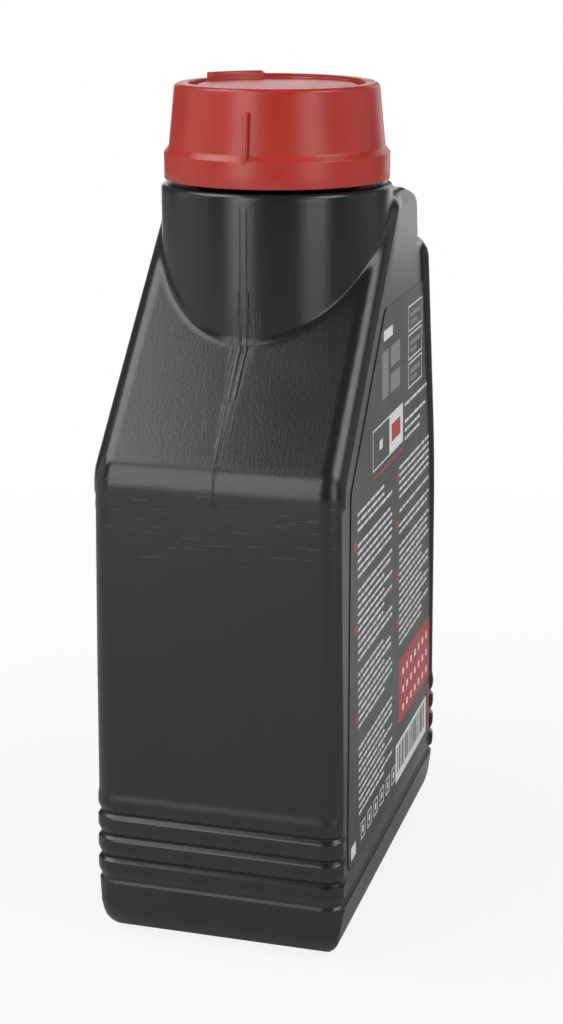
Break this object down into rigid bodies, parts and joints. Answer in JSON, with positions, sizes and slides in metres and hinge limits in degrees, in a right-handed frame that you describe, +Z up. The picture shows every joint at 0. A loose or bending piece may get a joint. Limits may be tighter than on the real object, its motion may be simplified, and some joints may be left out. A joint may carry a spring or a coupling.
{
  "type": "motor oil bottle",
  "caption": "Upright flat plastic oil bottle with a sloped shoulder, round collar, ribbed foot, recessed label panels and a red screw cap that turns and rises on its thread.",
  "frame": {"origin": "centre of the base on the surface the bottle stands on, below the neck's axis", "axes": "+Z up along the neck's axis; +X towards the sloped shoulder and the collar's free side; +Y out of the broad side with the printed information"},
  "size_m": [0.1119, 0.0652, 0.2119],
  "materials": {
    "black_plastic": "satin black blow-moulded polyethylene",
    "red_plastic": "satin red injection-moulded polypropylene",
    "liner_foam": "white foam sealing disc",
    "label_film": "printed satin plastic film"
  },
  "bodies": {
    "bottle": {"bottle_shell": "black_plastic", "info_label": "label_film", "front_label": "label_film"},
    "liner": {"cap_liner": "liner_foam"},
    "cap": {"screw_cap": "red_plastic"}
  },
  "joints": [
    {"name": "cap_rise", "type": "slide", "parent": "bottle", "child": "liner", "axis": [0, 0, 1], "range_m": [0, 0.0217]},
    {"name": "cap_turn", "type": "hinge", "parent": "liner", "child": "cap", "pos_m": [0, 0, 0.198], "axis": [0, 0, 1], "range_deg": [0, 1296]}
  ],
  "couplings": [
    {"joint": "cap_rise", "follows": "cap_turn", "m_per_rad": 0.00095493}
  ]
}
